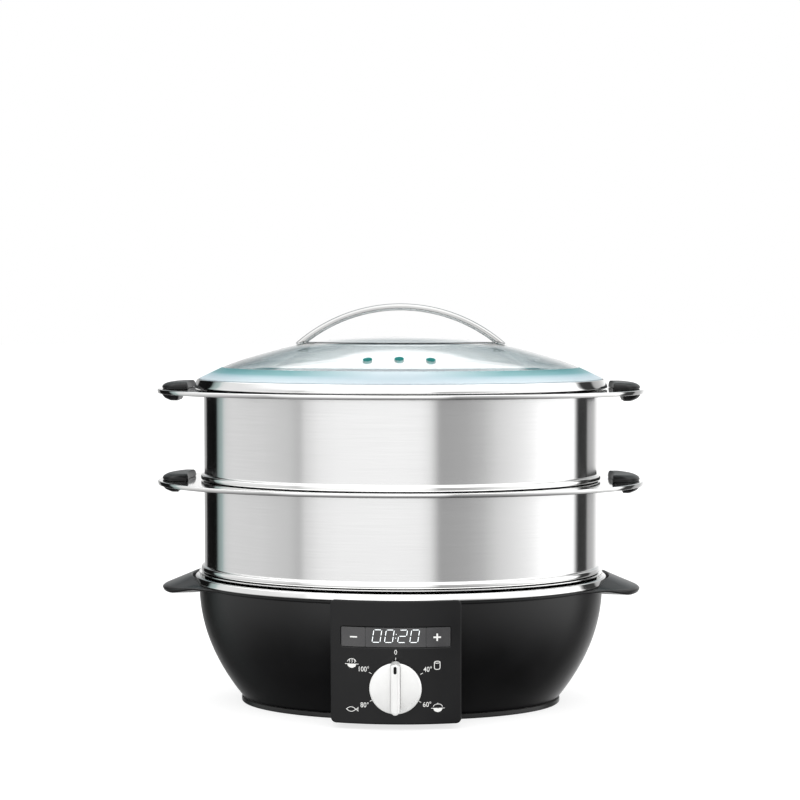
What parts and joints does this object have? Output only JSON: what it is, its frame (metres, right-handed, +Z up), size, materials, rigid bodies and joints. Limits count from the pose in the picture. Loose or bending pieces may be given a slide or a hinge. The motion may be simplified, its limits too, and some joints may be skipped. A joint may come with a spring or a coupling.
{
  "type": "electric steamer",
  "caption": "Oval electric steamer and egg cooker: a black base with a water tank, timer panel and dial, stacked steel baskets with gripped ears, and a glass lid with an arched handle.",
  "frame": {"origin": "on the table, under the centre of the whole object; the ovals' own axis is 7 mm behind it", "axes": "+X to the right along the ovals' long side, seen from the front; +Y to the back; +Z up. The control panel is at the front, -Y."},
  "size_m": [0.4056, 0.2631, 0.3328],
  "materials": {
    "black_plastic": "fine satin texture",
    "panel_plastic": "semi-gloss black with pale printing",
    "smoked_lens": "smoked grey, clear and smooth",
    "brushed_steel": "satin stainless steel, brushed round the wall",
    "polished_steel": "polished stainless steel",
    "glass": "tempered, clear with a blue-green edge",
    "grip_plastic": "smooth satin black",
    "dial_silver": "pale silver, satin",
    "silicone": "translucent grey silicone",
    "rubber": "matt black",
    "aluminium": "cast",
    "circuit_board": "green lacquer",
    "dark_parts": "moulded black"
  },
  "bodies": {
    "base": {"base_shell": "black_plastic", "base_plate": "black_plastic", "wing_collar": "black_plastic", "water_tank": "polished_steel", "tank_gasket": "silicone", "heater_plate": "aluminium", "heating_element": "polished_steel", "thermostat": "dark_parts", "cord_gland": "rubber", "control_housing": "panel_plastic", "display_window": "smoked_lens", "display_module": "dark_parts", "minus_switch": "dark_parts", "plus_switch": "dark_parts", "control_board": "circuit_board", "rotary_switch": "dark_parts", "foot_front_left": "rubber", "foot_front_right": "rubber", "foot_back_left": "rubber", "foot_back_right": "rubber", "base_screw_front_left": "polished_steel", "base_screw_front_right": "polished_steel", "base_screw_back_left": "polished_steel", "base_screw_back_right": "polished_steel"},
    "dial": {"dial_knob": "dial_silver", "dial_spindle": "polished_steel"},
    "minus_button": {"minus_button": "smoked_lens"},
    "plus_button": {"plus_button": "smoked_lens"},
    "juice_tray": {"juice_tray": "polished_steel"},
    "lid": {"lid_glass": "glass", "lid_rim": "polished_steel", "lid_handle": "polished_steel", "handle_washer_left": "silicone", "handle_washer_right": "silicone", "handle_seal_left": "silicone", "handle_seal_right": "silicone", "handle_screw_left": "polished_steel", "handle_screw_right": "polished_steel"},
    "lower_basket": {"lower_basket_wall": "brushed_steel", "lower_basket_rim": "polished_steel", "lower_grip_left_top": "grip_plastic", "lower_grip_left_bottom": "grip_plastic", "lower_grip_right_top": "grip_plastic", "lower_grip_right_bottom": "grip_plastic", "lower_grip_screw_left": "polished_steel", "lower_grip_screw_right": "polished_steel"},
    "lower_grid": {"lower_basket_grid": "brushed_steel"},
    "upper_basket": {"upper_basket_wall": "brushed_steel", "upper_basket_rim": "polished_steel", "upper_grip_left_top": "grip_plastic", "upper_grip_left_bottom": "grip_plastic", "upper_grip_right_top": "grip_plastic", "upper_grip_right_bottom": "grip_plastic", "upper_grip_screw_left": "polished_steel", "upper_grip_screw_right": "polished_steel"},
    "upper_grid": {"upper_basket_grid": "brushed_steel"}
  },
  "joints": [
    {"name": "dial_turn", "type": "hinge", "parent": "base", "child": "dial", "pos_m": [0, -0.1148, 0.0349], "axis": [0, 0.9976, 0.0698], "range_deg": [0, 300]},
    {"name": "minus_press", "type": "slide", "parent": "base", "child": "minus_button", "axis": [0, 0.9976, 0.0698], "range_m": [0, 0.001], "stiffness_N_per_m": 300, "springref_m": -0.001},
    {"name": "plus_press", "type": "slide", "parent": "base", "child": "plus_button", "axis": [0, 0.9976, 0.0698], "range_m": [0, 0.001], "stiffness_N_per_m": 300, "springref_m": -0.001},
    {"name": "tray_lift", "type": "slide", "parent": "base", "child": "juice_tray", "axis": [0, 0, 1], "range_m": [0, 0.05]},
    {"name": "lower_basket_lift", "type": "slide", "parent": "juice_tray", "child": "lower_basket", "axis": [0, 0, 1], "range_m": [0, 0.12]},
    {"name": "lower_grid_lift", "type": "slide", "parent": "lower_basket", "child": "lower_grid", "axis": [0, 0, 1], "range_m": [0, 0.06]},
    {"name": "upper_basket_lift", "type": "slide", "parent": "lower_basket", "child": "upper_basket", "axis": [0, 0, 1], "range_m": [0, 0.12]},
    {"name": "upper_grid_lift", "type": "slide", "parent": "upper_basket", "child": "upper_grid", "axis": [0, 0, 1], "range_m": [0, 0.06]},
    {"name": "lid_lift", "type": "slide", "parent": "upper_basket", "child": "lid", "axis": [0, 0, 1], "range_m": [0, 0.15]}
  ]
}
